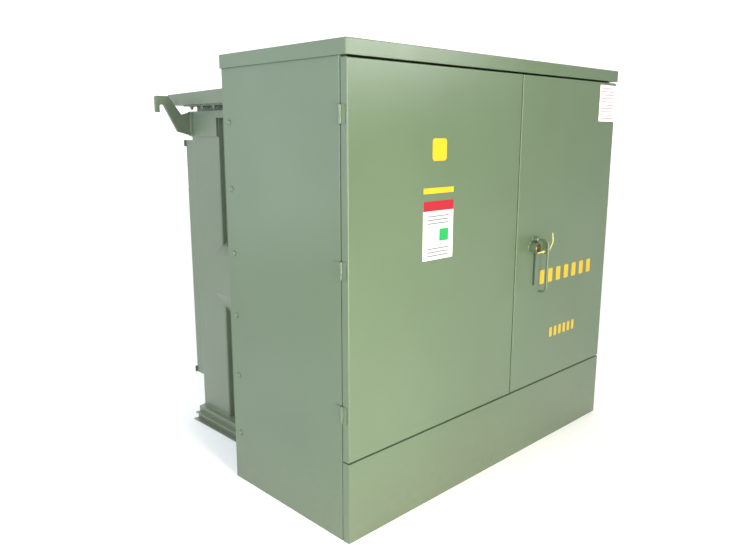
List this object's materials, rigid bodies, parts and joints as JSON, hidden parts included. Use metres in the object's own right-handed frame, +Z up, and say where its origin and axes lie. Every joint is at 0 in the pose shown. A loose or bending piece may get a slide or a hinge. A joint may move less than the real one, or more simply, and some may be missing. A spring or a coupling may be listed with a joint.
{
  "type": "pad-mounted power transformer",
  "caption": "Outdoor power transformer: a steel cabinet with two hinged doors and a turning handle, in front of an oil tank with hooks and cooling fins.",
  "frame": {"origin": "on the ground under the middle of the whole box, doors closed", "axes": "+X to the right seen from the doors, +Y from the doors to the cooling fins, +Z up"},
  "size_m": [1.741, 1.526, 1.7],
  "materials": {
    "green_steel": "satin sage-green powder coat",
    "bronze": "machined silicon bronze",
    "bumper": "dark green rubber",
    "epoxy": "cast epoxy",
    "terminal": "tin-plated copper",
    "pin_steel": "stainless steel",
    "plated_steel": "zinc-plated steel",
    "core_steel": "laminated electrical steel",
    "kraft_paper": "oil-soaked insulating paper",
    "nylon": "yellow nylon"
  },
  "bodies": {
    "root": {"left_side_panel": "green_steel", "right_side_panel": "green_steel", "roof_cap": "green_steel", "door_header": "green_steel", "sill_panel": "green_steel", "left_hinge_wall_leaves": "green_steel", "right_hinge_wall_leaves": "green_steel", "hinge_pins": "pin_steel", "centre_barrier": "green_steel", "tank_front_plate": "green_steel", "tank_wall": "green_steel", "tank_floor": "green_steel", "tank_top_flange": "green_steel", "tank_cover": "green_steel", "transformer_core": "core_steel", "windings": "kraft_paper", "left_base_channel": "green_steel", "right_base_channel": "green_steel", "belt_plates": "green_steel", "hook_pads": "green_steel", "left_lifting_hooks": "green_steel", "right_lifting_hooks": "green_steel", "left_side_box": "green_steel", "right_side_box": "green_steel", "cooling_fins": "green_steel", "fin_tie_bars": "green_steel", "hv_bushings": "epoxy", "lv_bushings": "epoxy", "lv_spades": "terminal", "drain_valve": "bronze", "oil_gauges": "plated_steel"},
    "left_door": {"left_door": "green_steel", "left_door_stiffener": "green_steel", "left_hinge_door_leaves": "green_steel"},
    "right_door": {"right_door": "green_steel", "right_door_stiffener": "green_steel", "right_hinge_door_leaves": "green_steel", "handle_boss": "green_steel", "bolt_shroud": "green_steel", "door_bolt": "bronze", "handle_bumper": "bumper"},
    "handle": {"door_handle": "green_steel", "padlock_tab": "green_steel", "handle_tie": "nylon", "latch_cam": "plated_steel"}
  },
  "joints": [
    {"name": "left_door_hinge", "type": "hinge", "parent": "root", "child": "left_door", "pos_m": [-0.8645, -0.654, 0.974], "axis": [0, 0, -1], "range_deg": [0, 110]},
    {"name": "right_door_hinge", "type": "hinge", "parent": "root", "child": "right_door", "pos_m": [0.8645, -0.654, 0.974], "axis": [0, 0, 1], "range_deg": [0, 110]},
    {"name": "handle_turn", "type": "hinge", "parent": "right_door", "child": "handle", "pos_m": [0.221, -0.687, 0.968], "axis": [0, -1, 0], "range_deg": [0, 90]}
  ]
}
